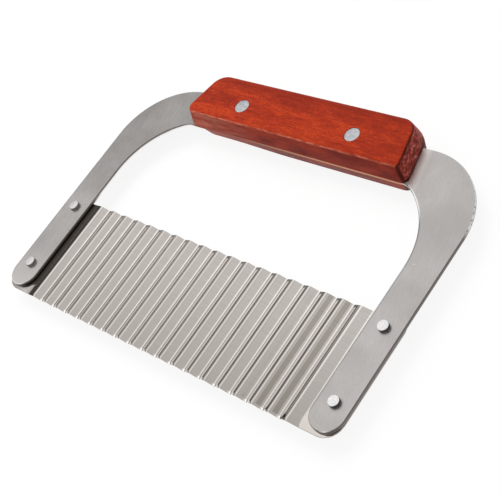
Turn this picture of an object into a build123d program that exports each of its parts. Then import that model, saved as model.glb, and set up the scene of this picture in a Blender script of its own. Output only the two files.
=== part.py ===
from build123d import *
import os
from math import atan2, cos, hypot, radians, sin

# Crinkle soap cutter: a stamped steel strap bent round a hand gap, a slotted wooden handle
# pinned over its top bar, and a corrugated blade riveted behind its two legs.
# It lies on its back. X runs along the blade, Y from the cutting edge to the handle,
# and Z up out of the strap's front face. Z = 0 is the back face of the handle, and the
# middle of the whole height is Y = 0. All lengths are in millimetres.

# Strap frame
frame_width = 185.0
frame_height = 114.0
frame_thickness = 1.6
frame_edge_break = 0.2
leg_width = 14.3
bar_height = 16.9
outer_corner_radius = 31.4
arch_radius = 36.0
arch_sweep = radians(59.0)
arch_blend_radius = 8.0

# Wooden handle
handle_length = 119.6
handle_height = 26.15
handle_thickness = 17.0
handle_top_corner_radius = 14.0
handle_end_lean = 5.6
face_inset_under = 2.2
face_inset_top = 3.0
face_inset_end = 3.0
face_corner_radius = 7.0
handle_edge_break = 0.5
slot_clearance = 0.05
bar_recess = 0.45

# Handle pins
pin_diameter = 6.6
pin_end_distance = 30.1
pin_rise = 10.0
pin_edge_break = 0.3
pin_clearance = 0.03

# Corrugated blade
blade_height = 48.1
blade_overhang = 1.3
blade_thickness = 0.45
usual_wave_pitch = 8.0
wave_depth = 1.77
wave_lead = 4.7
wave_lead_setback = 1.8
wave_bend_radius = 2.8
lead_bend_radius = 4.0
tab_lower_radius = 7.4
tab_upper_radius = 3.0
bevel_height = 0.9
edge_thickness = 0.12

# Blade rivets
rivet_foot_distance = 11.2
rivet_top_distance = 4.7
rivet_shank_diameter = 3.0
rivet_head_diameter = 4.5
rivet_head_height = 1.4
rivet_head_break = 0.3
rivet_tail_diameter = 4.2
rivet_tail_height = 0.9
rivet_clearance = 0.05

# How far a cutting tool runs past what it cuts
overrun = 1.0

# Places worked out from the sizes above
overall_height = blade_overhang + frame_height - bar_height - bar_recess + handle_height
edge_y = -overall_height / 2
foot_y = edge_y + blade_overhang
frame_top_y = foot_y + frame_height
bar_bottom_y = frame_top_y - bar_height
handle_low_y = bar_bottom_y - bar_recess
handle_top_y = handle_low_y + handle_height
blade_top_y = edge_y + blade_height
pin_x = handle_length / 2 - pin_end_distance
pin_y = bar_bottom_y + pin_rise
rivet_low_y = foot_y + rivet_foot_distance
rivet_high_y = blade_top_y - rivet_top_distance
half_width = frame_width / 2
leg_inner_x = half_width - leg_width
leg_centre_x = half_width - leg_width / 2
middle_z = handle_thickness / 2
frame_back_z = middle_z - frame_thickness / 2
frame_front_z = middle_z + frame_thickness / 2
blade_back_z = frame_back_z - blade_thickness
blade_middle_z = frame_back_z - blade_thickness / 2


def rivet_places():
    """Name and axis place of each of the four rivets that hold the blade."""
    places = {}
    for side, x in (("left", -leg_centre_x), ("right", leg_centre_x)):
        places["lower_" + side] = (x, rivet_low_y)
        places["upper_" + side] = (x, rivet_high_y)
    return places


def pin_places():
    """Name and axis place of each of the two pins that hold the handle."""
    return {"left": (-pin_x, pin_y), "right": (pin_x, pin_y)}


def through_holes(places, diameter, bottom_z, top_z):
    """Cylinders that cut a hole at each place, from below bottom_z to above top_z."""
    length = top_z - bottom_z + 2 * overrun
    tool = Cylinder(diameter / 2, length, align=(Align.CENTER, Align.CENTER, Align.MIN))
    return [Pos(x, y, bottom_z - overrun) * tool for x, y in places.values()]


def frame_half_outline():
    """Right half of the strap: bar, wide corner and leg, with a compound arch inside.

    The arch's large arc leaves the leg upright and turns through arch_sweep, and a small
    arc, tangent to it, turns the rest of the way into the bar's lower edge.
    """
    rise_share, run_share = sin(arch_sweep), cos(arch_sweep)
    arch_x = leg_inner_x - arch_radius
    arch_y = bar_bottom_y - arch_blend_radius - (arch_radius - arch_blend_radius) * rise_share
    blend_x = arch_x + (arch_radius - arch_blend_radius) * run_share
    meet = (arch_x + arch_radius * run_share, arch_y + arch_radius * rise_share)
    foot_centre_y = foot_y + leg_width / 2
    corner_x = half_width - outer_corner_radius
    corner_y = frame_top_y - outer_corner_radius
    with BuildSketch() as sketch:
        with BuildLine():
            Line((0, bar_bottom_y), (0, frame_top_y))
            Line((0, frame_top_y), (corner_x, frame_top_y))
            TangentArc((corner_x, frame_top_y), (half_width, corner_y), tangent=(1, 0))
            Line((half_width, corner_y), (half_width, foot_centre_y))
            TangentArc((half_width, foot_centre_y), (leg_inner_x, foot_centre_y), tangent=(0, -1))
            Line((leg_inner_x, foot_centre_y), (leg_inner_x, arch_y))
            TangentArc((leg_inner_x, arch_y), meet, tangent=(0, 1))
            TangentArc(meet, (blend_x, bar_bottom_y), tangent=(-rise_share, run_share))
            Line((blend_x, bar_bottom_y), (0, bar_bottom_y))
        make_face()
    return sketch.sketch


def make_frame():
    """Stamped strap with broken edges, four rivet holes and two pin holes."""
    half = frame_half_outline()
    outline = half + mirror(half, about=Plane.YZ)
    strap = extrude(Pos(0, 0, frame_back_z) * outline, amount=frame_thickness)
    rims = strap.edges().group_by(Axis.Z)[0] + strap.edges().group_by(Axis.Z)[-1]
    strap = chamfer(rims, length=frame_edge_break)
    rivet_hole = rivet_shank_diameter + 2 * rivet_clearance
    pin_hole = pin_diameter + 2 * pin_clearance
    strap -= through_holes(rivet_places(), rivet_hole, frame_back_z, frame_front_z)
    strap -= through_holes(pin_places(), pin_hole, frame_back_z, frame_front_z)
    return strap


def handle_outline(bottom_y, top_y, half_length, lean, corner_radius):
    """Plan outline of the handle at one level: leaning ends and rounded top corners."""
    height = top_y - bottom_y
    lean_angle = atan2(lean, height)
    lean_x, lean_y = lean / hypot(lean, height), height / hypot(lean, height)
    top_half = half_length - lean
    corner_run = corner_radius * (1 - sin(lean_angle)) / cos(lean_angle)
    right_low = (half_length, bottom_y)
    right_end = (top_half + corner_run * lean_x, top_y - corner_run * lean_y)
    right_top = (top_half - corner_run, top_y)
    left_low, left_end, left_top = [(-x, y) for x, y in (right_low, right_end, right_top)]
    with BuildSketch() as sketch:
        with BuildLine():
            Line(left_low, right_low)
            Line(right_low, right_end)
            TangentArc(right_end, right_top, tangent=(-lean_x, lean_y))
            Line(right_top, left_top)
            TangentArc(left_top, left_end, tangent=(-1, 0))
            Line(left_end, left_low)
        make_face()
    return sketch.sketch


def make_handle():
    """Block that is fullest at the strap's level and narrows to its two flat faces.

    A saw slot from the underside takes the frame's bar, a little deeper than the wood's
    edge, and the wood closes over it.
    """
    crest = handle_outline(
        handle_low_y, handle_top_y, handle_length / 2, handle_end_lean, handle_top_corner_radius
    )
    face_height = handle_height - face_inset_under - face_inset_top
    face = handle_outline(
        handle_low_y + face_inset_under,
        handle_top_y - face_inset_top,
        handle_length / 2 - face_inset_end,
        handle_end_lean * face_height / handle_height,
        face_corner_radius,
    )
    middle = Pos(0, 0, middle_z) * crest
    front = loft([middle, Pos(0, 0, handle_thickness) * face], ruled=True)
    back = loft([face, middle], ruled=True)
    block = front + back
    rims = block.edges().group_by(Axis.Z)[0] + block.edges().group_by(Axis.Z)[-1]
    block = chamfer(rims, length=handle_edge_break)
    slot_width = frame_thickness + 2 * slot_clearance
    slot_height = bar_height + bar_recess + slot_clearance + overrun
    slot = Box(
        handle_length + 2 * overrun,
        slot_height,
        slot_width,
        align=(Align.CENTER, Align.MAX, Align.CENTER),
    )
    block -= Pos(0, frame_top_y + slot_clearance, middle_z) * slot
    block -= through_holes(pin_places(), pin_diameter + 2 * pin_clearance, 0, handle_thickness)
    return block


def make_pin():
    """Plain pin as long as the handle is thick, so that both ends lie flush."""
    pin = Cylinder(
        pin_diameter / 2, handle_thickness, align=(Align.CENTER, Align.CENTER, Align.MIN)
    )
    return chamfer(pin.edges().filter_by(GeomType.CIRCLE), length=pin_edge_break)


def wave_line():
    """Middle line of the corrugated sheet in X and Z, with the bend radius at each corner.

    The tabs lie flat behind the legs and a long easy flank climbs from each to its first
    ridge. As many waves as come nearest to the usual pitch fill the space between, with
    ridges and valleys half a pitch apart.
    """
    bend_x = wave_lead_setback - leg_inner_x
    first_ridge_x = bend_x + wave_lead
    wave_gaps = round(-2 * first_ridge_x / usual_wave_pitch)
    half_pitch = -first_ridge_x / wave_gaps
    points = [(-half_width, blade_middle_z), (bend_x, blade_middle_z)]
    radii = [lead_bend_radius]
    for step in range(2 * wave_gaps + 1):
        side = 1 if step % 2 == 0 else -1
        points.append((first_ridge_x + step * half_pitch, blade_middle_z + side * wave_depth / 2))
        radii.append(wave_bend_radius)
    points += [(-bend_x, blade_middle_z), (half_width, blade_middle_z)]
    radii.append(lead_bend_radius)
    return points, radii


def parallel(points, radii, distance):
    """Line beside the given one, distance to its left, with mitred corners and its radii."""
    headings = [atan2(q[1] - p[1], q[0] - p[0]) for p, q in zip(points, points[1:])]
    turns = [after - before for before, after in zip(headings, headings[1:])]
    first, last = headings[0], headings[-1]
    beside = [(points[0][0] - distance * sin(first), points[0][1] + distance * cos(first))]
    for (x, z), heading, turn in zip(points[1:-1], headings, turns):
        reach = distance / cos(turn / 2)
        normal = heading + turn / 2
        beside.append((x - reach * sin(normal), z + reach * cos(normal)))
    beside.append((points[-1][0] - distance * sin(last), points[-1][1] + distance * cos(last)))
    bends = [r - distance if turn > 0 else r + distance for r, turn in zip(radii, turns)]
    return beside, bends


def blade_section(y, thickness):
    """Section of the sheet at height y, with its back on the sheet's back."""
    points, radii = wave_line()
    back, back_bends = parallel(points, radii, -blade_thickness / 2)
    front, front_bends = parallel(points, radii, thickness - blade_thickness / 2)
    with BuildSketch(Plane.XZ.offset(-y)) as sketch:
        with BuildLine():
            lower = FilletPolyline(*back, radius=back_bends)
            upper = FilletPolyline(*front, radius=front_bends)
            Line(lower @ 0, upper @ 0)
            Line(lower @ 1, upper @ 1)
        make_face()
    return sketch.sketch


def make_blade():
    """Corrugated sheet with a bevel ground on the front of its cutting edge."""
    bevel_y = edge_y + bevel_height
    full = blade_section(bevel_y, blade_thickness)
    thin = blade_section(edge_y, edge_thickness)
    sheet = extrude(full, amount=blade_height - bevel_height, dir=(0, 1, 0))
    sheet += loft([full, thin], ruled=True)
    plan = Pos(0, (edge_y + blade_top_y) / 2) * Rectangle(frame_width, blade_height)
    plan = fillet(plan.vertices().group_by(Axis.Y)[0], radius=tab_lower_radius)
    plan = fillet(plan.vertices().group_by(Axis.Y)[-1], radius=tab_upper_radius)
    depth = wave_depth + 2 * blade_thickness + 2 * overrun
    sheet &= extrude(Pos(0, 0, blade_middle_z - depth / 2) * plan, amount=depth)
    hole = rivet_shank_diameter + 2 * rivet_clearance
    sheet -= through_holes(rivet_places(), hole, blade_back_z, frame_back_z)
    return sheet


def make_rivet():
    """Flat-headed rivet standing on the strap's front, closed behind the blade."""
    base = (Align.CENTER, Align.CENTER, Align.MIN)
    head = Cylinder(rivet_head_diameter / 2, rivet_head_height, align=base)
    head = chamfer(head.edges().group_by(Axis.Z)[-1], length=rivet_head_break)
    tail = Cylinder(rivet_tail_diameter / 2, rivet_tail_height, align=base)
    tail = chamfer(tail.edges().group_by(Axis.Z)[0], length=rivet_head_break)
    grip = frame_front_z - blade_back_z
    shank = Cylinder(rivet_shank_diameter / 2, grip, align=base)
    return (
        Pos(0, 0, frame_front_z) * head
        + Pos(0, 0, blade_back_z) * shank
        + Pos(0, 0, blade_back_z - rivet_tail_height) * tail
    )


def make_parts():
    """Every piece of the cutter in its place, by node name."""
    parts = {"strap_frame": make_frame(), "wood_handle": make_handle(), "wavy_blade": make_blade()}
    for name, (x, y) in pin_places().items():
        parts["handle_pin_" + name] = Pos(x, y) * make_pin()
    for name, (x, y) in rivet_places().items():
        parts["blade_rivet_" + name] = Pos(x, y) * make_rivet()
    return parts


os.makedirs("parts", exist_ok=True)
for node, shape in make_parts().items():
    export_step(shape, f"parts/{node}.step")
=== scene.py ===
# %% [markdown]
# # A crinkle soap cutter
#
# The real tool is a flat steel strap stamped like a wide U, a wooden handle pinned over its
# top bar, and a corrugated sheet of stainless steel riveted behind its two legs. The packed
# CAD model already has those pieces in their places. This script dresses them: it keeps the
# solids whose shape is right, makes the hand-finished pieces again as smooth surfaces, and
# gives every piece a finish made from shader nodes.
#
# Blender works in metres here, in the frame of the CAD model: X along the blade, Y from the
# cutting edge towards the handle, Z up out of the strap's front.

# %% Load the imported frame
from math import cos, pi, radians, sin

import bpy
import numpy as np
from mathutils import Matrix, Vector


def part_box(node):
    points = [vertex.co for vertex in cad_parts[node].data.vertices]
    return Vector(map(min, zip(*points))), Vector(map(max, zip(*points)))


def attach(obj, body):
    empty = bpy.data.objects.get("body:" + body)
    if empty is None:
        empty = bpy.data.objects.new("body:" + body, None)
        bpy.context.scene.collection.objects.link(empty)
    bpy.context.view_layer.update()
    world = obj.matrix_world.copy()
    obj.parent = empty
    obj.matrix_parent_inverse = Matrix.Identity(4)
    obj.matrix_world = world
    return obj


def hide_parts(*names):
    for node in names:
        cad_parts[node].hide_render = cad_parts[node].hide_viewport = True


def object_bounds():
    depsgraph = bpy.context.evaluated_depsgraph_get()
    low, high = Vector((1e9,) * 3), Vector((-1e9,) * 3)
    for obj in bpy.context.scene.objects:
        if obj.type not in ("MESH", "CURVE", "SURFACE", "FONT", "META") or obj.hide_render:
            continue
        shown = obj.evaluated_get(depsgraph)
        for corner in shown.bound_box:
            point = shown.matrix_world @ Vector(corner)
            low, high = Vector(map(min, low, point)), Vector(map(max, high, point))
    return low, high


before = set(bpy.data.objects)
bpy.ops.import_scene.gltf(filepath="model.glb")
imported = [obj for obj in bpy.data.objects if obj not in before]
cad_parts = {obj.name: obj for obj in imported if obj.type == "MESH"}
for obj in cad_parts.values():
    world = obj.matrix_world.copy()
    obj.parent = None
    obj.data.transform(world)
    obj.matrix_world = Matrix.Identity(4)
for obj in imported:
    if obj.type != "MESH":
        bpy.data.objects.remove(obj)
cad_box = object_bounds()
mm = 0.001
print("nodes:", sorted(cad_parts))

# %% [markdown]
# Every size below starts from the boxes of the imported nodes, so that a changed CAD model
# carries through. A box is the lowest and the highest corner of a node at rest.

# %% Measure the pieces
strap_low, strap_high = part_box("strap_frame")
handle_low, handle_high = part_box("wood_handle")
blade_low, blade_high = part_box("wavy_blade")
object_middle = (cad_box[0] + cad_box[1]) / 2
print("strap is %.1f mm wide and %.1f mm thick" % (
    (strap_high.x - strap_low.x) / mm, (strap_high.z - strap_low.z) / mm))

# %% [markdown]
# ## Camera
#
# The photograph looks down on the tool from beyond its lower right corner, and the camera is
# turned about its own axis, so that the handle runs down to the right. The direction is given
# as an azimuth and an elevation, and the turn as a roll. The three axes of the camera are
# then plain sums of sines and cosines, which is easier to check than Euler angles.

# %% Camera
camera_azimuth = radians(66.43)
camera_elevation = radians(44.07)
camera_roll = radians(-37.55)
camera_place = Vector((303.7, -135.6, 315.0)) * mm
camera_lens = 83.75
camera_sensor = 36.0

back = Vector((
    sin(camera_azimuth) * cos(camera_elevation),
    -cos(camera_azimuth) * cos(camera_elevation),
    sin(camera_elevation),
))
level = Vector((cos(camera_azimuth), sin(camera_azimuth), 0))
upright = back.cross(level)
right = level * cos(camera_roll) + upright * sin(camera_roll)
up = upright * cos(camera_roll) - level * sin(camera_roll)

camera = bpy.data.objects.new("camera", bpy.data.cameras.new("camera"))
camera.data.lens = camera_lens
camera.data.sensor_width = camera_sensor
camera.data.clip_start = 0.01
camera_axes = Matrix((right, up, back)).transposed().to_4x4()
camera.matrix_world = Matrix.Translation(camera_place) @ camera_axes
bpy.context.scene.collection.objects.link(camera)
bpy.context.scene.camera = camera
print("camera stands %.0f mm from the middle" % ((camera_place - object_middle).length / mm))

# %% [markdown]
# ## Nodes and sockets
#
# Light, paint and steel are all described by small graphs of nodes. Each node could be made
# and wired by hand, but that takes a line for every socket and hides the idea. Two short
# helpers keep the graphs readable: one adds a node, and one fills its sockets, where a value
# is a number or colour, or another node's output to be linked.

# %% Nodes and sockets
def fill(tree, node, sockets):
    """Set or link sockets of a node by name or number."""
    for key, value in sockets.items():
        socket = node.inputs[key]
        if isinstance(value, bpy.types.NodeSocket):
            tree.links.new(value, socket)
        elif isinstance(value, tuple) and len(value) == 3 and socket.type == "RGBA":
            socket.default_value = (*value, 1)
        else:
            socket.default_value = value
    return node


def add(tree, kind, sockets=None, **settings):
    """New node of a kind, with its settings and sockets filled."""
    node = tree.nodes.new("ShaderNode" + kind)
    for key, value in settings.items():
        setattr(node, key, value)
    return fill(tree, node, sockets or {})


# %% [markdown]
# ## Studio
#
# A product photograph is taken on white, under large soft lamps. An image of a sky could
# light the tool, but then every highlight would be a matter of luck. Here the world is one
# plain white, kept bright for the camera and for mirrors and dimmed as a light, so that the
# background stays pure while the steel keeps its shades. Light Path tells the two apart.

# %% World
def maths(tree, operation, a, b=0.0):
    """One arithmetic step."""
    return add(tree, "Math", {0: a, 1: b}, operation=operation).outputs[0]


def span(tree, value, low, high, to_low=0.0, to_high=1.0, smooth=False):
    """Map a value's range to another, clamped."""
    sockets = {0: value, 1: low, 2: high, 3: to_low, 4: to_high}
    kind = "SMOOTHSTEP" if smooth else "LINEAR"
    return add(tree, "MapRange", sockets, interpolation_type=kind).outputs[0]


def seen_plainly(tree):
    """1 for rays of the camera, of mirrors and through glass, 0 for those that gather light."""
    path = add(tree, "LightPath")
    seen = maths(tree, "MAXIMUM", path.outputs["Is Camera Ray"], path.outputs["Is Glossy Ray"])
    return maths(tree, "MAXIMUM", seen, path.outputs["Is Transmission Ray"])


world = bpy.data.worlds.new("studio")
bpy.context.scene.world = world
world.use_nodes = True
tree = world.node_tree
world_light = 0.62
strength = span(tree, seen_plainly(tree), 0, 1, world_light, 1.0)
fill(tree, tree.nodes["Background"], {"Color": (1.0, 1.0, 1.0), "Strength": strength})
print("the world shows as 1 and lights as %.2f" % world_light)

# %% [markdown]
# Two area lamps do the rest. The softbox stands opposite the camera, low behind the left end
# of the tool, where the flat steel mirrors it as an even grey. The overhead lamp only gives
# light and a faint shadow: no mirror sees it, or it would show as a white stripe in each wave.

# %% Lamps
def lamp(name, direction, distance, width, height, watts):
    """Area lamp in a direction from the object's middle, facing it."""
    light = bpy.data.lights.new(name, "AREA")
    light.shape = "RECTANGLE"
    light.size, light.size_y = width, height
    light.energy = watts
    piece = bpy.data.objects.new(name, light)
    aim = Vector(direction).normalized()
    facing = aim.to_track_quat("Z", "Y").to_matrix().to_4x4()
    piece.matrix_world = Matrix.Translation(object_middle + aim * distance) @ facing
    bpy.context.scene.collection.objects.link(piece)
    print("%s gives %.2f W from %.1f m" % (name, watts, distance))
    return piece


lamp("softbox", (-0.59, 0.14, 0.755), distance=0.9, width=1.1, height=0.42, watts=1.04)
overhead = lamp("overhead", (-0.3, 0.35, 0.97), distance=1.1, width=0.6, height=0.6, watts=5.0)
overhead.visible_glossy = False

# %% [markdown]
# Bent steel is drawn by what stands round it. A photographer puts black and grey cards beside
# polished metal, so that each bend shows thin dark lines. The cards here do the same, and are
# seen by mirrors alone. Painting all the lines on would be simpler, but they would stay put
# when the tool is turned. Three cards stand beyond the left end, one above another, and a dim
# one hangs high beyond the right end.

# %% Cards
def new_mesh(name, points, faces):
    """Object made from an array of points and a list of faces, at the origin."""
    mesh = bpy.data.meshes.new(name)
    mesh.from_pydata(points.reshape(-1, 3).tolist(), [], faces)
    piece = bpy.data.objects.new(name, mesh)
    bpy.context.scene.collection.objects.link(piece)
    return piece


def new_finish(name):
    """Empty node material, returned with its Principled shader."""
    finish = bpy.data.materials.new(name)
    finish.use_nodes = True
    return finish, finish.node_tree.nodes["Principled BSDF"]


def set_finish(piece, finish):
    """Give a piece one finish."""
    piece.data.materials.clear()
    piece.data.materials.append(finish)
    print("%s wears %s, of %d nodes" % (piece.name, finish.name, len(finish.node_tree.nodes)))


def card(name, corners, glow):
    """Flat card that only mirrors see, as bright as its glow."""
    piece = new_mesh(name, np.array(corners), [list(range(len(corners)))])
    finish, shader = new_finish(name + "_paint")
    fill(finish.node_tree, shader, {
        "Base Color": (0.0, 0.0, 0.0), "Specular IOR Level": 0.0,
        "Emission Color": (1.0, 0.97, 0.93), "Emission Strength": glow})
    set_finish(piece, finish)
    piece.visible_camera = piece.visible_diffuse = False
    piece.visible_shadow = piece.visible_transmission = False


wall_x, near_y, far_y = -0.6, -0.3, 0.6
wall_cards = [
    ("dark_card", 0.1, 0.175, 0.1), ("dim_card", 0.175, 0.24, 0.1), ("grey_card", 0.24, 0.33, 0.8)]
for name, low_z, high_z, glow in wall_cards:
    card(name, [
        (wall_x, near_y, low_z), (wall_x, far_y, low_z),
        (wall_x, far_y, high_z), (wall_x, near_y, high_z)], glow)
ceiling_z, ceiling_start_x, ceiling_end_x, ceiling_glow = 0.9, 0.14, 0.7, 0.68
card("dim_ceiling", [
    (ceiling_start_x, near_y, ceiling_z), (ceiling_end_x, near_y, ceiling_z),
    (ceiling_end_x, far_y, ceiling_z), (ceiling_start_x, far_y, ceiling_z)], ceiling_glow)

# %% [markdown]
# The tool lies on a white table. A plain white plane would come out grey beside the world's
# white, so most of what the camera sees of it is a glow, and the rest is paint that still
# takes the tool's soft shadow.

# %% Floor
floor_half, floor_gap = 3.0, 0.3 * mm
floor_glow, glow_share = 1.03, 0.85
floor_corners = [
    (-floor_half, -floor_half), (floor_half, -floor_half),
    (floor_half, floor_half), (-floor_half, floor_half)]
floor = new_mesh("floor", np.array([(x, y, -floor_gap) for x, y in floor_corners]), [[0, 1, 2, 3]])
floor_finish, floor_shader = new_finish("white_table")
tree = floor_finish.node_tree
fill(tree, floor_shader, {
    "Base Color": (0.85, 0.85, 0.85), "Roughness": 0.9, "Specular IOR Level": 0.0})
glow = add(tree, "Emission", {"Color": (1.0, 1.0, 1.0), "Strength": floor_glow})
shown = add(tree, "MixShader", {
    0: span(tree, seen_plainly(tree), 0, 1, 0.0, glow_share),
    1: floor_shader.outputs[0], 2: glow.outputs[0]})
tree.links.new(shown.outputs[0], tree.nodes["Material Output"].inputs["Surface"])
set_finish(floor, floor_finish)

# %% [markdown]
# ## Patterns
#
# Scratches and grain could be drawn on an image, but an image blurs up close and has to be
# fitted to each piece. A noise worked out from Object coordinates is sharp at any distance,
# and drawn out along one direction it gives strokes and fibres. The helpers here make such
# noises, turn a value into colours, and mix two values or two colours.

# %% Patterns
def place(tree, stretch, turn):
    """Object coordinates, turned about Z and multiplied by a factor for each axis.

    A factor below 1 draws the pattern out along that axis.
    """
    coordinates = add(tree, "TexCoord").outputs["Object"]
    turned_to = add(
        tree, "VectorRotate", {"Vector": coordinates, "Angle": turn}, rotation_type="Z_AXIS")
    mapping = add(tree, "Mapping", {"Vector": turned_to.outputs[0], "Scale": stretch})
    return mapping.outputs["Vector"]


def noise(tree, scale, stretch=(1, 1, 1), detail=3.0, roughness=0.5, turn=0.0):
    """Noise of a scale in cells per metre, stretched along an axis."""
    node = add(tree, "TexNoise", {
        "Vector": place(tree, stretch, turn), "Scale": scale,
        "Detail": detail, "Roughness": roughness})
    return node.outputs["Fac"]


def ramp(tree, fac, stops):
    """Colour ramp from pairs of position and colour."""
    node = add(tree, "ValToRGB", {"Fac": fac})
    elements = node.color_ramp.elements
    while len(elements) < len(stops):
        elements.new(0.5)
    for element, (position, colour) in zip(elements, stops):
        element.position = position
        element.color = (*colour, 1)
    return node.outputs["Color"]


def mix(tree, share, a, b, how="MIX"):
    """Mix of two colours, with b's share given."""
    node = add(tree, "Mix", {0: share, 6: a, 7: b}, data_type="RGBA", blend_type=how)
    return node.outputs[2]


def weighted(tree, a, b, a_share):
    """Mix of two values, with a's share given."""
    return maths(
        tree, "ADD", maths(tree, "MULTIPLY", a, a_share), maths(tree, "MULTIPLY", b, 1 - a_share))


# %% [markdown]
# ## Steel strap
#
# The strap is stamped from rolled steel and brushed, so it is duller than the blade. Its CAD
# solid has the right shape and stays: only its finish is made here. The brush strokes run
# down the legs and lean a little. Two noises drawn out along that direction give them, one
# coarse and one fine. Dots and short nicks are noises cut off near their peaks.

# %% Brushed faces
def product(tree, share, *others):
    """Product of shares."""
    for other in others:
        share = maths(tree, "MULTIPLY", share, other)
    return share


stroke_lean = radians(-14)
nick_turn = radians(60)
strap_finish, strap_shader = new_finish("strap_steel")
tree = strap_finish.node_tree
strokes = noise(tree, 1900, (1, 0.1, 1), detail=3, roughness=0.6, turn=stroke_lean)
fine_strokes = noise(tree, 3600, (1, 0.3, 1), detail=2, turn=stroke_lean)
clouds = noise(tree, 55, detail=2)
brushing = weighted(tree, strokes, fine_strokes, 0.6)
face_tone = ramp(tree, weighted(tree, brushing, clouds, 0.6), [
    (0.38, (0.305, 0.289, 0.280)), (0.5, (0.355, 0.337, 0.328)), (0.62, (0.42, 0.401, 0.391))])
dots = span(tree, noise(tree, 620, detail=2), 0.73, 0.79, smooth=True)
nick_noise = noise(tree, 900, (1, 0.22, 1), detail=1, turn=nick_turn)
nicks = span(tree, nick_noise, 0.79, 0.84, smooth=True)
face_tone = mix(tree, product(tree, dots, 0.6), face_tone, (0.12, 0.115, 0.11))
face_tone = mix(tree, product(tree, nicks, 0.45), face_tone, (0.78, 0.77, 0.76))
print("brushed faces: %d nodes" % len(tree.nodes))

# %% [markdown]
# Wear, painted shade and painted highlights lie in certain places only. A texture painted by
# hand could hold them, but a share between 0 and 1, worked out from where a point lies and
# which way it faces, needs no image and has no seams. The strap's faces, sides and edges are
# told by the normal, and its bar, bends and legs by the place. The shares are worked out once
# and serve all the tones that follow. The hand's side is the one that faces -Y, where the
# fingers go.

# %% Places on the strap
def parts(tree, output):
    """X, Y and Z of the Object coordinates or of the Normal."""
    split = add(tree, "SeparateXYZ", {0: add(tree, "TexCoord").outputs[output]})
    return split.outputs["X"], split.outputs["Y"], split.outputs["Z"]


def size_of(tree, value):
    """Value without its sign."""
    return maths(tree, "ABSOLUTE", value)


def rest_of(tree, share):
    """1 less the share."""
    return maths(tree, "SUBTRACT", 1.0, share)


at_x, at_y, at_z = parts(tree, "Object")
normal_x, normal_y, normal_z = parts(tree, "Normal")
from_centre = size_of(tree, at_x)
height = span(tree, at_z, strap_low.z, strap_high.z)
on_right = span(tree, at_x, 0, 1 * mm)
on_left = rest_of(tree, on_right)
near_wood = span(tree, at_y, 22 * mm, 30 * mm)
in_slot = span(tree, from_centre, handle_high.x - 4 * mm, handle_high.x - 1 * mm, 1.0, 0.0)
facing_z = size_of(tree, normal_z)
facing_hand = span(tree, normal_y, -0.75, -0.3, 1.0, 0.0)
facing_right = span(tree, normal_x, 0.3, 0.5)
facing_outwards = maths(tree, "ADD", normal_x, normal_y)
print("places on the strap: %d nodes" % len(tree.nodes))

# %% [markdown]
# The sheared sides are rougher than the faces, and darker, partly as painted shade of the
# tool's shadow on the table, which they mirror. The walls towards the hand get darker painted
# shade still, except beside the wood at the right, where the upper half gets a painted
# highlight. Inside the slot the bar's lower side gets a painted reflection of the red-brown
# wood, and the sides that face right get a painted reflection of the table, paler towards it.
# A second material could be given to these faces, but then its border would be a hard line,
# where a share can fade.

# %% Sheared sides
wall_shade_tone, wall_reflection_tone = (0.12, 0.115, 0.11), (0.92, 0.90, 0.88)
shear = noise(tree, 1500, (1, 1, 0.25), detail=3)
# Sheared sides, darker partly as painted shade of the tool's shadow on the table.
side_tone = ramp(tree, shear, [(0.35, (0.13, 0.125, 0.12)), (0.65, (0.26, 0.25, 0.24))])
# Painted shade on the walls towards the hand, with a painted highlight on their upper half beside
# the wood.
bright_half = product(tree, near_wood, span(tree, height, 0.45, 0.7))
hand_wall_shade_and_highlight = mix(tree, on_right, wall_shade_tone, mix(tree, bright_half, wall_shade_tone, wall_reflection_tone))
hand_share = product(tree, facing_hand, span(tree, at_y, 0, 10 * mm))
side_tone = mix(tree, hand_share, side_tone, hand_wall_shade_and_highlight)
# Painted reflection of the wood on the bar's lower side inside the slot.
slot_wood_reflection = ramp(tree, span(tree, at_x, -35 * mm, 20 * mm), [
    (0.0, (0.27, 0.07, 0.045)), (1.0, (0.58, 0.28, 0.15))])
side_tone = mix(tree, product(tree, in_slot, facing_hand), side_tone, slot_wood_reflection)
# Painted reflection of the table on the sides that face right, paler low down.
outer_side_reflection = ramp(tree, height, [(0.15, (0.30, 0.26, 0.245)), (0.7, (0.13, 0.118, 0.112))])
side_tone = mix(tree, product(tree, facing_right, 0.85), side_tone, outer_side_reflection)
print("sheared sides: %d nodes" % len(tree.nodes))

# %% [markdown]
# Three places of the sides have a look of their own. Outside the right bend the shear has torn
# the steel, which leaves bright flakes over a dark lower line. The inner side of the left leg
# gets painted shade, nearly black towards the blade. Above the blade, where that wall stands
# free over the white table, its lower half gets a painted reflection of the table. Real
# mirroring would need a rough metal to blur the table just so, and a tone that follows the
# height does it surely.

# %% Torn bend and left wall
def larger(tree, a, b):
    """The larger of two shares."""
    return maths(tree, "MAXIMUM", a, b)


torn_tone = ramp(tree, noise(tree, 1100, detail=2), [
    (0.34, (0.24, 0.22, 0.21)), (0.48, (0.70, 0.66, 0.64))])
torn_tone = mix(tree, span(tree, height, 0.12, 0.34, 1.0, 0.0), torn_tone, (0.22, 0.20, 0.19))
on_bend = product(tree, span(tree, at_y, 22 * mm, 27 * mm), on_right)
torn_share = product(tree, span(tree, facing_outwards, 0.3, 0.5), on_bend)
side_tone = mix(tree, torn_share, side_tone, torn_tone)
# Painted shade on the inner side of the left leg, darkest low down.
inner_wall_shade = ramp(tree, height, [(0.2, (0.018, 0.013, 0.011)), (0.9, (0.19, 0.17, 0.155))])
inner_left = product(tree, facing_right, span(tree, at_x, -70 * mm, -60 * mm, 1.0, 0.0))
side_tone = mix(tree, inner_left, side_tone, inner_wall_shade)
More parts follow.
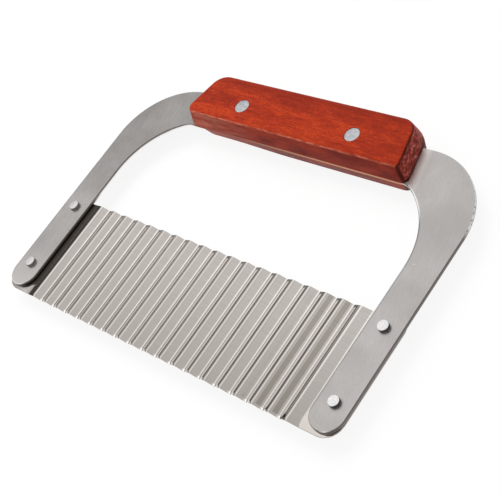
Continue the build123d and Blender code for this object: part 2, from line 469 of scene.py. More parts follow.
# Painted reflection of the table on the lower half of the left wall above the blade.
left_wall = larger(tree, inner_left, product(tree, facing_hand, on_left))
above_blade = span(tree, at_y, blade_high.y, blade_high.y + 6 * mm)
lower_half = span(tree, height, 0.4, 0.65, 1.0, 0.0)
over_table = product(tree, above_blade, lower_half, rest_of(tree, in_slot))
side_tone = mix(tree, product(tree, left_wall, over_table), side_tone, wall_reflection_tone)
print("torn bend and left wall: %d nodes" % len(tree.nodes))

# %% [markdown]
# The faces are not even either. The arch is darker at the left, the left foot is lighter, and
# the patch beside the wood at the right gets a painted highlight, which outweighs the dark
# reflection of the wood's end. Painting them would need an unwrapped mesh, so they are shares
# of the place as well. The wood's end leans, so the patch starts at a distance from the middle
# that shrinks with Y.

# %% Patches of the faces
end_slope = 0.214
wood_end = maths(tree, "MULTIPLY", maths(tree, "SUBTRACT", at_y, handle_low.y), -end_slope)
past_wood = maths(tree, "SUBTRACT", from_centre, maths(tree, "ADD", wood_end, handle_high.x))
# Painted highlight on the strap beside the wood's end at the right.
highlight_beside_wood = product(
    tree, span(tree, past_wood, 0, 5 * mm, 0.8, 0.0), span(tree, at_y, 30 * mm, 36 * mm), on_right)
dull_arch = product(tree, span(tree, at_y, -15 * mm, 20 * mm), on_left)
bright_foot = product(tree, span(tree, at_y, -62 * mm, -38 * mm, 0.8, 0.0), on_left)
face_tone = mix(tree, dull_arch, face_tone, (0.82, 0.82, 0.82), "MULTIPLY")
face_tone = mix(tree, bright_foot, face_tone, (0.53, 0.51, 0.50))
face_tone = mix(tree, highlight_beside_wood, face_tone, (0.82, 0.79, 0.765))
print("worn patches: %d nodes" % len(tree.nodes))

# %% [markdown]
# Thin painted lines follow the outline: painted shade along the legs and the right arch, and a
# painted highlight on the right arch beside the wood. Thin strips of mesh could be laid there,
# but they would be pieces that the real tool hasn't got. A line is a narrow range of the
# distance from a straight side, or from the arch's middle.

# %% Lines along the outline
leg_width, line_width = 14.3 * mm, 0.8 * mm
arch_radius, arch_middle_y = 36 * mm, 4.35 * mm
inner_x = strap_high.x - leg_width
left_line = span(tree, at_x, strap_low.x, strap_low.x + line_width, 1.0, 0.0)
past_leg = maths(tree, "SUBTRACT", at_x, inner_x)
right_line = product(tree, span(tree, past_leg, 0, line_width, 1.0, 0.0), on_right)
below_arch = span(tree, at_y, arch_middle_y, arch_middle_y + 1 * mm, 0.8, 0.0)
leg_line = product(tree, larger(tree, left_line, right_line), below_arch)
plan = add(tree, "CombineXYZ", {0: from_centre, 1: at_y}).outputs[0]
arch_middle = (inner_x - arch_radius, arch_middle_y, 0)
to_middle = add(tree, "VectorMath", {0: plan, 1: arch_middle}, operation="DISTANCE")
past_arch = maths(tree, "SUBTRACT", to_middle.outputs["Value"], arch_radius)
on_arch = span(tree, at_y, arch_middle_y, arch_middle_y + 1 * mm)
arch_line = product(tree, span(tree, past_arch, 0.3 * mm, line_width, 0.75, 0.0), on_arch, on_right)
# Painted shade in the lines, turning to a painted highlight on the right arch beside the wood.
outline_shade_and_highlight = mix(tree, product(tree, on_right, near_wood), (0.11, 0.105, 0.105), (0.95, 0.92, 0.90))
face_tone = mix(tree, larger(tree, leg_line, arch_line), face_tone, outline_shade_and_highlight)
print("lines along the outline: %d nodes" % len(tree.nodes))

# %% [markdown]
# The broken edges between faces and sides get a painted highlight. A bevel made by a modifier
# would change the solid, so they are told by the normal, which leans a little from Z there.
# They are painted paler than the face, apart from those round the hand gap, which get painted
# shade except at the feet, where the painted highlight is brightest. Last, the three tones are
# laid over one another, and the strokes give a slight relief.

# %% Edges and strap material
def relief(tree, height, strength, depth):
    """Normals of a surface that rises and falls by up to a depth with the height's value."""
    return add(tree, "Bump", {"Strength": strength, "Distance": depth, "Height": height}).outputs[0]


side_share = span(tree, facing_z, 0.25, 0.45, 1.0, 0.0)
edge_share = span(tree, facing_z, 0.93, 0.98, 1.0, 0.0)
side_share = larger(tree, side_share, product(tree, facing_right, edge_share))
at_foot = span(tree, at_y, -45 * mm, -35 * mm, 1.0, 0.0)
# Painted highlight on the edges, and painted shade round the hand gap apart from the feet.
hand_edge = mix(tree, at_foot, (0.30, 0.29, 0.28), (0.95, 0.92, 0.90))
edge_highlight_and_shade = mix(tree, facing_hand, (0.60, 0.585, 0.57), hand_edge)
facing_inwards = product(tree, span(tree, facing_outwards, -0.65, -0.4, 1.0, 0.0), on_right)
edge_highlight_and_shade = mix(tree, facing_inwards, edge_highlight_and_shade, (0.10, 0.095, 0.09))
strap_tone = mix(tree, edge_share, face_tone, edge_highlight_and_shade)
strap_tone = mix(tree, side_share, strap_tone, side_tone)
face_rough = span(tree, brushing, 0.35, 0.65, 0.3, 0.42)
fill(tree, strap_shader, {
    "Base Color": strap_tone, "Metallic": 1.0,
    "Roughness": maths(tree, "ADD", face_rough, product(tree, side_share, 0.12)),
    "Normal": relief(tree, maths(tree, "SUBTRACT", brushing, dots), 0.3, 0.02 * mm)})
set_finish(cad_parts["strap_frame"], strap_finish)

# %% [markdown]
# ## Corrugated blade
#
# The blade is one thin stainless sheet, rolled into 19 ridges and 18 valleys between two flat
# ends. A Wave modifier would give it sine waves, but rolled sheet has straight flanks and
# round bends. So a bent line is worked out first, as a corner list whose corners are rounded.
# The line is then carried up the sheet's height, once in front and once behind, half the
# thickness away along its own normal, which keeps the sheet evenly thick round each bend.

# %% Bent line
def bent_line(corners, radii, samples=9):
    """Points and headings along a line whose corners are rounded.

    The heading h turns evenly through each corner from h0, the heading before it. A point of
    the arc is the arc's start plus radius times (sin h - sin h0, cos h0 - cos h), with the
    radius negative in a right turn.
    """
    corners = np.array(corners)
    straights = np.diff(corners, axis=0)
    headings = np.unwrap(np.arctan2(straights[:, 1], straights[:, 0]))
    before, turns = headings[:-1, None], np.diff(headings)[:, None]
    radii = np.array(radii)[:, None] * np.sign(turns)
    reach = radii * np.tan(turns / 2)
    start = corners[1:-1] - reach * np.concatenate([np.cos(before), np.sin(before)], axis=1)
    heading = before + turns * np.linspace(0, 1, samples)
    x = start[:, :1] + radii * (np.sin(heading) - np.sin(before))
    z = start[:, 1:] + radii * (np.cos(before) - np.cos(heading))
    x = np.concatenate([corners[:1, 0], x.ravel(), corners[-1:, 0]])
    z = np.concatenate([corners[:1, 1], z.ravel(), corners[-1:, 1]])
    heading = np.concatenate([headings[:1], heading.ravel(), headings[-1:]])
    return x, z, heading


corner_x, corner_z, _ = bent_line([(0, 0), (1, 0), (1, 1)], [0.5], samples=3)
print("a square corner's arc passes %.3f, %.3f" % (corner_x[2], corner_z[2]))

# %% [markdown]
# The rollers leave bends of 2.8 mm radius, and start the first wave from a flat tab with a much
# easier bend. Ridges and valleys take turns at equal steps, half the depth above and below
# the sheet's level. The tabs get extra points, because their corners are rounded later.

# %% Waves of the sheet
sheet_thickness = 0.45 * mm
wave_depth = 1.77 * mm
wave_radius = 2.8 * mm
lead_radius = 14.0 * mm
wave_lead = 4.7 * mm
lead_end_x = 76.4 * mm
wave_gaps = 18
tab_samples = 40
sheet_z = strap_low.z - sheet_thickness / 2
half_width = strap_high.x
ridge_x = lead_end_x - wave_lead
wave_pitch = 2 * ridge_x / wave_gaps

steps = np.arange(2 * wave_gaps + 1)
bend_x = np.concatenate([
    [-half_width, -lead_end_x], -ridge_x + steps * ridge_x / wave_gaps, [lead_end_x, half_width]])
bend_z = np.full(len(bend_x), sheet_z)
bend_z[2:-2] += np.where(steps % 2 == 0, 0.5, -0.5) * wave_depth
radii = np.full(len(bend_x) - 2, wave_radius)
radii[[0, -1]] = lead_radius
line_x, line_z, heading = bent_line(np.stack([bend_x, bend_z], 1), radii)
tab_x = np.linspace(-half_width, line_x[1], tab_samples)[1:-1]
line_x = np.concatenate([line_x[:1], tab_x, line_x[1:-1], -tab_x[::-1], line_x[-1:]])
flat = np.full(len(tab_x), sheet_z)
line_z = np.concatenate([line_z[:1], flat, line_z[1:-1], flat, line_z[-1:]])
heading = np.concatenate([heading[:1], 0 * flat, heading[1:-1], 0 * flat, heading[-1:]])
print("sheet line: %d points, waves %.2f mm apart" % (len(line_x), wave_pitch / mm))

# %% [markdown]
# The sheet's outline has rounded corners at its ends, and a bevel thins the front of the
# cutting edge. Both come from where a column of points starts and how thick the sheet is
# there. Two rows close beside the bevel's upper border keep the smooth shading of the bevel
# off the flat part.

# %% Outline and bevel of the sheet
sheet_edge_thickness = 0.12 * mm
bevel_height, least_bevel, crease = 0.9 * mm, 0.1 * mm, 0.04 * mm
tab_lower_radius, tab_upper_radius = 7.4 * mm, 3.0 * mm
sheet_rows = 25


def corner_drop(x, radius):
    """How far a rounded corner of the outline leaves the straight edge at x.

    With i the distance of x inside the corner, it is radius less the root of radius squared
    less i squared.
    """
    inside = np.clip(np.abs(x) - (half_width - radius), 0, radius)
    return radius - np.sqrt(radius**2 - inside**2)


low_y = blade_low.y + corner_drop(line_x, tab_lower_radius)
high_y = blade_high.y - corner_drop(line_x, tab_upper_radius)
bevel_y = np.maximum(blade_low.y + bevel_height, low_y + least_bevel)
rows = np.linspace(0, 1, sheet_rows)[1:, None]
sheet_y = np.concatenate([
    low_y[None], (bevel_y - crease)[None], (bevel_y + crease)[None],
    bevel_y + rows * (high_y - bevel_y)])
fullness = np.clip((sheet_y - blade_low.y) / bevel_height, 0, 1)
thickness = sheet_edge_thickness + fullness * (sheet_thickness - sheet_edge_thickness)
front_off = thickness - sheet_thickness / 2
back_off = np.full_like(front_off, -sheet_thickness / 2)
print("sheet grid: %d rows of %d points" % sheet_y.shape)

# %% [markdown]
# Front and back are two grids with the same numbering, so the rim that closes them is a strip
# between matching points. A Solidify modifier could give the thickness, but not the bevel.

# %% Sheet surface
def grid_faces(rows, columns, closed=False):
    """Four-cornered faces of a grid whose points are numbered row by row.

    A closed grid joins its last column to its first one.
    """
    column = np.arange(columns if closed else columns - 1)
    after = (column + 1) % columns
    row = np.arange(rows - 1)[:, None] * columns
    faces = np.stack([row + column, row + after, row + after + columns, row + column + columns], -1)
    return faces.reshape(-1, 4).tolist()


def sheet_side(offset):
    """Points of one side of the sheet, at an offset from its middle along the normal.

    The normal of a line with heading h is (-sin h, cos h) in X and Z.
    """
    x, z = line_x - offset * np.sin(heading), line_z + offset * np.cos(heading)
    return np.stack([x, sheet_y, z], -1)


def closed_sheet(front, back):
    """Closed surface from two grids that face away from each other, joined round the rim."""
    rows, columns = front.shape[:2]
    count = rows * columns
    index = np.arange(count).reshape(rows, columns)
    rim = np.concatenate([index[0], index[1:, -1], index[-1, -2::-1], index[-2:0:-1, 0]])
    after = np.roll(rim, -1)
    faces = np.array(grid_faces(rows, columns))
    sides = np.stack([after, rim, rim + count, after + count], 1)
    points = np.concatenate([front.reshape(-1, 3), back.reshape(-1, 3)])
    return points, np.concatenate([faces, faces[:, ::-1] + count, sides]).tolist()


sheet = new_mesh("crinkle_sheet", *closed_sheet(sheet_side(front_off), sheet_side(back_off)))
print("%s has %d points" % (sheet.name, len(sheet.data.vertices)))

# %% [markdown]
# Rolled stainless stays almost a mirror, with a very fine grain across the waves. A bump map
# could give the grain, but it would blur the reflections that draw the bends, so it is a
# faint change of tone. The sheet is a shade duller towards the cutting edge, and its left tab
# is darker.

# %% Grain of the sheet
blade_finish, blade_shader = new_finish("blade_steel")
tree = blade_finish.node_tree
at_x, at_y, _ = parts(tree, "Object")
hatch = noise(tree, 4200, (0.03, 1, 0.03), detail=2)
sheet_tone = ramp(tree, hatch, [(0.35, (0.488, 0.456, 0.43)), (0.65, (0.552, 0.518, 0.49))])
dull_edge = product(
    tree, span(tree, at_y, -22 * mm, blade_low.y), span(tree, at_x, -60 * mm, 60 * mm, 0.4, 0.75))
sheet_tone = mix(tree, dull_edge, sheet_tone, (0.36, 0.335, 0.31))
left_tab = span(tree, at_x, -86 * mm, -80 * mm, 0.6, 0.0)
sheet_tone = mix(tree, left_tab, sheet_tone, (0.22, 0.20, 0.185))
print("grain of the sheet: %d nodes" % len(tree.nodes))

# %% [markdown]
# Every wave gets the same painted reflections. The flank that rises to the right gets a painted
# highlight, brighter towards the right end, a dark painted reflection line along its top and a
# fainter one in the valley at its foot, and the crown of the ridge a little painted shade. Where
# a point lies within its own wave is its distance from the first ridge divided by the pitch,
# less the whole number. It runs from 0 at one ridge through 0.5 in the valley to 1 at the next
# ridge, so one rule serves all the waves. At the crown it jumps back to 0, so the crown's line
# is looked up half a wave further on.

# %% Painted reflections of the waves
def band(tree, value, centre, core, reach, share=1.0):
    """Share that is full within the core's distance of a centre and gone beyond the reach."""
    distance = size_of(tree, maths(tree, "SUBTRACT", value, centre))
    return span(tree, distance, core, reach, share, 0.0)


valley_phase, flank_phase, top_phase, crown_phase = 0.575, 0.66, 0.8, 0.53
fold = maths(tree, "FRACT", maths(tree, "DIVIDE", maths(tree, "ADD", at_x, ridge_x), wave_pitch))
half_on = maths(tree, "FRACT", maths(tree, "ADD", fold, 0.5))
on_waves = span(tree, size_of(tree, at_x), ridge_x - 0.1 * mm, ridge_x, 1.0, 0.0)
# Painted highlight on the flank that rises to the right.
flank = band(tree, fold, flank_phase, core=0.09, reach=0.12)
flank = product(tree, flank, span(tree, at_x, -50 * mm, 60 * mm, 0.3, 1.0))
# Painted dark reflection lines in the valley and along the flank's top, and painted shade on the
# crown.
valley_shade_line = band(tree, fold, valley_phase, core=0.01, reach=0.045, share=0.9)
valley_shade_line = product(tree, valley_shade_line, span(tree, at_x, -60 * mm, 0, 1.0, 0.25))
crown = band(tree, half_on, crown_phase, core=0.04, reach=0.08, share=0.7)
top_shade_line = band(tree, fold, top_phase, core=0.02, reach=0.072)
to_right = span(tree, at_x, -60 * mm, 40 * mm)
top_shade_tone = mix(tree, to_right, (0.015, 0.014, 0.013), (0.05, 0.046, 0.044))
for share, reflection_tone in (
        (flank, (0.72, 0.68, 0.65)), (valley_shade_line, (0.22, 0.205, 0.195)),
        (crown, (0.35, 0.325, 0.305)), (top_shade_line, top_shade_tone)):
    sheet_tone = mix(tree, product(tree, share, on_waves), sheet_tone, reflection_tone)
print("roller marks: %d nodes" % len(tree.nodes))

# %% [markdown]
# Each flank that rises to the right gets a small dark painted reflection along the upper edge,
# and a painted highlight on the bevel under the same flank. Both are bands of the same wave
# count, kept to a thin strip at one edge. The piece then takes the place of the CAD blade.

# %% Painted edge shade and highlight, and blade material
sharp_angle = radians(35)
upper_edge_shade_phase, bevel_highlight_phase = 0.69, 0.62


def finish_piece(piece, finish, slot, *nodes):
    """Smooth shading up to a sharp angle and a finish, in place of CAD nodes. The slot is not used.
    """
    piece.data.shade_smooth()
    piece.data.set_sharp_from_angle(angle=sharp_angle)
    set_finish(piece, finish)
    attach(piece, "root")
    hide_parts(*nodes)
    print("%s has %d faces" % (piece.name, len(piece.data.polygons)))


# Painted dark reflection along the upper edge of each rising flank.
upper_edge = span(tree, at_y, blade_high.y - 1.5 * mm, blade_high.y - 0.7 * mm, 0.0, 0.85)
upper_edge_shade = product(tree, band(tree, fold, upper_edge_shade_phase, core=0.1, reach=0.14), on_waves, upper_edge)
sheet_tone = mix(tree, upper_edge_shade, sheet_tone, (0.07, 0.065, 0.06))
# Painted highlight on the bevel under each rising flank.
lower_edge = span(tree, at_y, blade_low.y + 0.6 * mm, blade_low.y + 1.0 * mm, 1.0, 0.0)
bevel_highlight = band(tree, fold, bevel_highlight_phase, core=0.2, reach=0.26, share=0.55)
bevel_highlight = product(tree, bevel_highlight, on_waves, lower_edge)
sheet_tone = mix(tree, bevel_highlight, sheet_tone, (0.90, 0.86, 0.82))
fill(tree, blade_shader, {"Base Color": sheet_tone, "Metallic": 1.0, "Roughness": 0.06})
finish_piece(sheet, blade_finish, "blade_steel", "wavy_blade")

# %% [markdown]
# ## Wooden handle
#
# The handle is a block of stained hardwood, shaped on a spindle moulder so that it is fullest
# at the strap and narrows to its two flat faces, then rounded by hand along every edge. A
# block could be beveled with a modifier, but its ends lean and its corners change their
# radius on the way to the face. So its surface is a stack of closed outlines, from one face
# to the other, each with as many points as the next. The crest is the outline at the strap.
#
# Handwork is never even: the left end leans more, so that its lower corner stands further
# out, and the lower corners have radii of their own, in the order left at the crest, left at
# the face, right at the crest, right at the face.

# %% Handle sizes
handle_middle_z = (handle_low.z + handle_high.z) / 2
handle_half_depth = handle_high.z - handle_middle_z
crest_half_length = 59.8 * mm
bar_recess = 0.45 * mm
crest_low_y = 36.35 * mm - bar_recess
crest_high_y = handle_high.y
handle_lean, left_spread = 5.6 * mm, 0.9 * mm
face_inset_under, face_inset_top, face_inset_end = 2.2 * mm, 3.0 * mm, 3.0 * mm
crest_top_radius, face_top_radius = 14.0 * mm, 7.0 * mm
front_low_radii = (5.4 * mm, 3.2 * mm, 2.8 * mm, 1.6 * mm)
back_low_radii = (5.4 * mm, 5.5 * mm, 3.5 * mm, 3.5 * mm)
least_radius = 0.2 * mm
print("handle is %.1f mm high at its crest" % ((crest_high_y - crest_low_y) / mm))

# %% [markdown]
# The four corners of an outline are rounded with their own radii, and every outline has the
# same number of points, so that neighbouring outlines join into a clean grid.

# %% Rounded outline
def rounded_outline(corners, radii, samples=10, between=24):
    """Closed outline with rounded corners, as many points on each side and in each arc.

    An arc of radius r that turns by t leaves each side r tan(t / 2) before the corner, and
    its heading h turns evenly: a point is start plus r (sin h - sin h0, cos h0 - cos h).
    """
    after = np.roll(corners, -1, axis=0)
    side = after - corners
    heading = np.arctan2(side[:, 1], side[:, 0])
    before = np.roll(heading, 1)
    turn = (heading - before) % (2 * pi)
    reach = radii * np.tan(turn / 2)
    h0 = before[:, None]
    start = corners - reach[:, None] * np.concatenate([np.cos(h0), np.sin(h0)], 1)
    h = h0 + turn[:, None] * np.linspace(0, 1, samples)
    swing = np.stack([np.sin(h) - np.sin(h0), np.cos(h0) - np.cos(h)], -1)
    arc = start[:, None] + radii[:, None, None] * swing
    share = np.linspace(0, 1, between + 2)[1:-1, None]
    leave, arrive = arc[:, -1:], np.roll(arc, -1, axis=0)[:, :1]
    return np.concatenate([arc, leave + share * (arrive - leave)], 1).reshape(-1, 2)


square = np.array([(1, -1), (1, 1), (-1, 1), (-1, -1)])
print("an outline has %d points" % len(rounded_outline(square, np.full(4, 0.5))))

# %% [markdown]
# One outline of the block is then a matter of its level. A scaled copy of the crest would be
# simpler, but on the real block the height shrinks more than the length, and the corners most
# of all. So each measure has its own value at the crest and at the face, and lies evenly
# between them on the way.

# %% Outline of the handle
def handle_outline(level, inset=0.0, low_radii=front_low_radii):
    """Outline of the handle at a level from 0, the crest, to 1, the face, moved in by an inset.

    Bottom, top, half length and radii change evenly with the level. The right end leans by
    the same angle at every level, so that its side is one flat plane, and the left end's
    lower corner stands further out by its spread.
    """
    low = crest_low_y + level * face_inset_under
    high = crest_high_y - level * face_inset_top
    half = crest_half_length - level * face_inset_end
    slope = handle_lean / (crest_high_y - crest_low_y)
    in_low, in_high = low + inset, high - inset
    in_half = half - inset * (1 + slope**2)**0.5
    x_low = in_half - slope * (in_low - low)
    x_high = in_half - slope * (in_high - low)
    corners = np.array([
        (x_low, in_low), (x_high, in_high), (-x_high, in_high), (-x_low - left_spread, in_low)])
    left_crest, left_face, right_crest, right_face = low_radii
    low_left = left_crest + level * (left_face - left_crest)
    low_right = right_crest + level * (right_face - right_crest)
    top = crest_top_radius + level * (face_top_radius - crest_top_radius)
    radii = np.array([low_right, top, top, low_left])
    return rounded_outline(corners, np.maximum(radii - inset, least_radius))


face_length = np.ptp(handle_outline(1)[:, 0])
print("handle is %.1f mm long at its faces" % (face_length / mm))

# %% [markdown]
# From the strap's level the block runs outwards to its face, where the rim is rounded. A
# Bevel modifier would round it with arcs of one width all round, but a rim broken with paper
# follows the lean of the sides, so it is a quadratic curve between outlines.

# %% Curve of the rim
rim_round, flat_margin = 1.1 * mm, 0.6 * mm
rim_level = 1 - rim_round / handle_half_depth
crest_round = 0.1
face_z, rim_z = handle_half_depth, handle_half_depth * rim_level
crest_z = handle_half_depth * crest_round


def lifted(outline, z):
    """Outline in space at a height."""
    return np.concatenate([outline, np.full((len(outline), 1), z)], 1)


def quadratic(first, corner, last, samples):
    """Rows of points along a curve that leaves towards the corner and arrives from it.

    The weights of the three are (1 - u) squared, 2 u (1 - u) and u squared.
    """
    u = np.linspace(0, 1, samples)[:, None, None]
    return (1 - u)**2 * first + 2 * u * (1 - u) * corner + u**2 * last


print("rim starts %.1f mm below the face" % ((face_z - rim_z) / mm))

# %% [markdown]
# Front and back halves are made alike, but the half behind is more worn along its lower side,
# mostly at the left. Sculpting could show that, but couldn't be repeated from numbers, so the
# lower points are lifted by an amount that fades out.

# %% Halves of the handle
back_wear, left_wear, wear_reach = 0.5 * mm, 0.6 * mm, 10 * mm
left_wear_start, left_wear_length = 5 * mm, 35 * mm


def half_block(low_radii, wear):
    """Rings of one half, from the crest's edge over the rounded rim to the flat face.

    Wear lifts the lower side by an amount that fades out upwards. Towards the left it grows
    with s squared times (3 - 2 s), where s is the share of the way from start to full wear.
    """
    rim = quadratic(
        lifted(handle_outline(rim_level, 0, low_radii), rim_z),
        lifted(handle_outline(1, 0, low_radii), face_z),
        lifted(handle_outline(1, rim_round, low_radii), face_z), samples=7)
    flat_ring = lifted(handle_outline(1, rim_round + flat_margin, low_radii), face_z)
    near_crest = lifted(handle_outline(crest_round, 0, low_radii), crest_z)
    rings = np.concatenate([near_crest[None], rim, flat_ring[None]])
    low = rings[..., 1].min(axis=1, keepdims=True)
    fade = np.clip(1 - (rings[..., 1] - low) / wear_reach, 0, 1)
    share = np.clip((-rings[..., 0] - left_wear_start) / left_wear_length, 0, 1)
    rings[..., 1] += wear * fade * (back_wear + left_wear * share**2 * (3 - 2 * share))
    return rings[0], rings[1:]


front_crest, front_half = half_block(front_low_radii, 0)
back_crest, back_half = half_block(back_low_radii, 1)
print("each half has %d rings" % (1 + len(front_half)))

# %% [markdown]
# The back half is turned over by a change of sign, and a short curve over the crest joins it
# to the front. Skinning all the rings at once gives one closed block with even faces.

# %% Handle block
behind = (1, 1, -1)
crest = quadratic(back_crest * behind, lifted(handle_outline(0), 0), front_crest, samples=5)
block = np.concatenate([back_half[::-1] * behind, crest, front_half]) + (0, 0, handle_middle_z)
rings, stations = block.shape[:2]
faces = grid_faces(rings, stations, closed=True)
faces += [list(range(stations))[::-1], list(range((rings - 1) * stations, rings * stations))]
handle = new_mesh("handle_block", block, faces)
print("handle has %d rings of %d points" % (rings, stations))

# %% [markdown]
# Pins, rivets and drill holes are all turned shapes: a profile carried round an axis. Blender
# has a Screw modifier for this, but a head that was hammered is not quite round, and the
# formula can say so. The profile starts and ends on the axis, where its circle shrinks to one
# shared point. The first shapes made so are the two drills for the pin holes.

# %% Turned shapes
def turned(name, profile, x, y, segments=48, wobble=0.0):
    """Closed surface of a profile (radius, height) carried round an upright axis at x, y.

    A point is x + r cos a, y + r sin a. The wobble makes the radius grow and shrink a
    little, as sin (2 a + p) + 0.6 sin (3 a + q), where p and q come from x and y, so that
    every place has its own.
    """
    radius, height = np.array(profile).T
    angle = np.linspace(0, 2 * pi, segments, endpoint=False)
    p, q = 40 * x / mm, 70 * y / mm
    waves = np.sin(2 * angle + p) + 0.6 * np.sin(3 * angle + q)
    ring = radius[1:-1, None] * (1 + wobble * waves)
    level = np.broadcast_to(height[1:-1, None], ring.shape)
    rows = np.stack([x + ring * np.cos(angle), y + ring * np.sin(angle), level], -1)
    poles = np.array([(x, y, height[0]), (x, y, height[-1])])
    points = np.concatenate([rows.reshape(-1, 3), poles])
    count = len(points) - 2
    around = np.arange(segments)
    after = (around + 1) % segments
    first = np.stack([np.full(segments, count), after, around], 1)
    end = count - segments
    last = np.stack([np.full(segments, count + 1), around + end, after + end], 1)
    faces = grid_faces(len(rows), segments, closed=True) + first.tolist() + last.tolist()
    return new_mesh(name, points, faces)


pin_boxes = [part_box("handle_pin_" + side) for side in ("left", "right")]
pin_places = [((low.x + high.x) / 2, (low.y + high.y) / 2) for low, high in pin_boxes]
pin_radius = (pin_boxes[0][1].x - pin_boxes[0][0].x) / 2
pin_clearance, overrun = 0.03 * mm, 1 * mm
hole_radius, hole_top = pin_radius + pin_clearance, handle_high.z + overrun
hole_profile = [(0, -overrun), (hole_radius, -overrun), (hole_radius, hole_top), (0, hole_top)]
drills = [turned("drill", hole_profile, x, y) for x, y in pin_places]
print("two drills, %.2f mm wide" % (2 * hole_radius / mm))

# %% [markdown]
# The wood was sawn along its underside to take the strap's bar, and drilled for the pins. The
# same is done here with Boolean cuts, applied at once so that the mesh is final. The slot and
# the holes are a hair wider than what they hold, so that no two surfaces lie in one place.

# %% Slot and pin holes
def cut_away(piece, *tools):
    """Take the tools' shapes out of a piece for good, and throw the tools away."""
    for tool in tools:
        modifier = piece.modifiers.new("cut", "BOOLEAN")
        modifier.object = tool
        modifier.solver = "EXACT"
    graph = bpy.context.evaluated_depsgraph_get()
    whole = bpy.data.meshes.new_from_object(piece.evaluated_get(graph))
    piece.modifiers.clear()
    piece.data = whole
    for tool in tools:
        bpy.data.objects.remove(tool)


slot_clearance = 0.05 * mm
saw_x, saw_low_y = crest_half_length + overrun, crest_low_y - overrun
saw_high_y = strap_high.y + slot_clearance
saw_outline = np.array([
    (-saw_x, saw_low_y), (saw_x, saw_low_y), (saw_x, saw_high_y), (-saw_x, saw_high_y)])
saw_points = np.stack([
    lifted(saw_outline, strap_low.z - slot_clearance),
    lifted(saw_outline, strap_high.z + slot_clearance)])
saw = new_mesh("saw", saw_points, grid_faces(2, 4, closed=True) + [[3, 2, 1, 0], [4, 5, 6, 7]])
cut_away(handle, saw, *drills)
print("cut handle has %d faces" % len(handle.data.polygons))

# %% [markdown]
# The finish is a red-brown stain over a plain hardwood. Along the grain it shows broad darker
# bands, fine fibres and short dark pores. Rings of growth could be modelled and cut by the
# surface, but so plain a wood hardly shows them, so all of it is noise drawn out along X. The
# stain lies thicker towards the top and the right end.

# %% Side grain
wood_finish, wood_shader = new_finish("stained_wood")
tree = wood_finish.node_tree
at_x, at_y, at_z = parts(tree, "Object")
bands = noise(tree, 90, (0.15, 1, 1), detail=2)
figure = noise(tree, 620, (0.25, 1, 1), detail=4, roughness=0.7)
fibres = noise(tree, 1700, (0.07, 1, 1), detail=2)
speckle = noise(tree, 2600, (0.5, 1, 1), detail=1)
pores = span(tree, noise(tree, 2100, (0.3, 1, 1), detail=1), 0.66, 0.74, smooth=True)
grain_tone = ramp(tree, weighted(tree, bands, figure, 0.5), [
    (0.40, (0.25, 0.020, 0.008)), (0.49, (0.47, 0.037, 0.010)), (0.58, (0.69, 0.068, 0.013))])
fibre_share = span(tree, fibres, 0.4, 0.62, 0.0, 0.45)
grain_tone = mix(tree, fibre_share, grain_tone, (0.27, 0.022, 0.009))
speckle_share = span(tree, speckle, 0.4, 0.62, 0.0, 0.62)
grain_tone = mix(tree, speckle_share, grain_tone, (0.24, 0.018, 0.008))
heavy_stain = larger(
    tree, span(tree, at_y, 48 * mm, 60 * mm, 0.0, 0.5, smooth=True),
    span(tree, at_x, -40 * mm, 60 * mm, 0.0, 0.35))
grain_tone = mix(tree, heavy_stain, grain_tone, (0.25, 0.020, 0.008))
grain_tone = mix(tree, product(tree, pores, 0.5), grain_tone, (0.14, 0.014, 0.007))
print("side grain: %d nodes" % len(tree.nodes))

# %% [markdown]
# The underside is painted darker, as painted shade, with blotches of stain in it, and has
# paler streaks towards the left end. The ends are cut across the fibres, drink more stain and
# stay rough, and get painted shade at the strap and behind it, where they are darkest. The ends
# could be separate materials, but where the corners are rounded one grain runs into the other,
# and shares taken from the normal do the same.

# %% Underside and end grain
normal_x, normal_y, normal_z = parts(tree, "Normal")
facing_x, facing_z = size_of(tree, normal_x), size_of(tree, normal_z)
blotches = noise(tree, 200, (0.5, 1, 1), detail=3)
under_stain_and_shade = mix(
    tree, span(tree, blotches, 0.36, 0.64), (0.13, 0.016, 0.012), (0.31, 0.038, 0.022))
streaks = noise(tree, 1000, (0.12, 1, 1), detail=3, roughness=0.6)
streak_tone = ramp(tree, streaks, [
    (0.38, (0.33, 0.045, 0.028)), (0.5, (0.54, 0.115, 0.075)), (0.62, (0.66, 0.24, 0.15))])
pale_end = span(tree, at_x, -60 * mm, -15 * mm, 0.95, 0.0)
under_stain_and_shade = mix(tree, pale_end, under_stain_and_shade, streak_tone)
# Painted shade on the underside, with blotches of stain in it.
under_share = product(tree, span(tree, normal_y, -0.9, -0.6, 1.0, 0.0), 0.75)
grain_tone = mix(tree, under_share, grain_tone, under_stain_and_shade)

end_share = span(tree, facing_x, 0.55, 0.85, smooth=True)
rough_cut = noise(tree, 750, (1, 0.6, 1.3), detail=4, roughness=0.68)
end_tone = ramp(tree, rough_cut, [
    (0.36, (0.06, 0.010, 0.008)), (0.45, (0.21, 0.030, 0.022)),
    (0.56, (0.38, 0.058, 0.042)), (0.70, (0.52, 0.27, 0.235))])
# Painted shade on the ends at the strap and behind it.
shade_at_strap = span(
    tree, at_z, strap_high.z + 0.3 * mm, strap_high.z + 1.8 * mm, 0.85, 0.0, smooth=True)
end_tone = mix(tree, shade_at_strap, end_tone, (0.035, 0.006, 0.005))
wood_tone = mix(tree, end_share, grain_tone, end_tone)
print("underside and end grain: %d nodes" % len(tree.nodes))

# %% [markdown]
# The rounded rims towards the hand are worn pale, and the rims of the ends are darker, as is the
# lower right corner. Rims are the only places where the normal lies halfway between a face and
# a side, so no mask has to be painted for them.

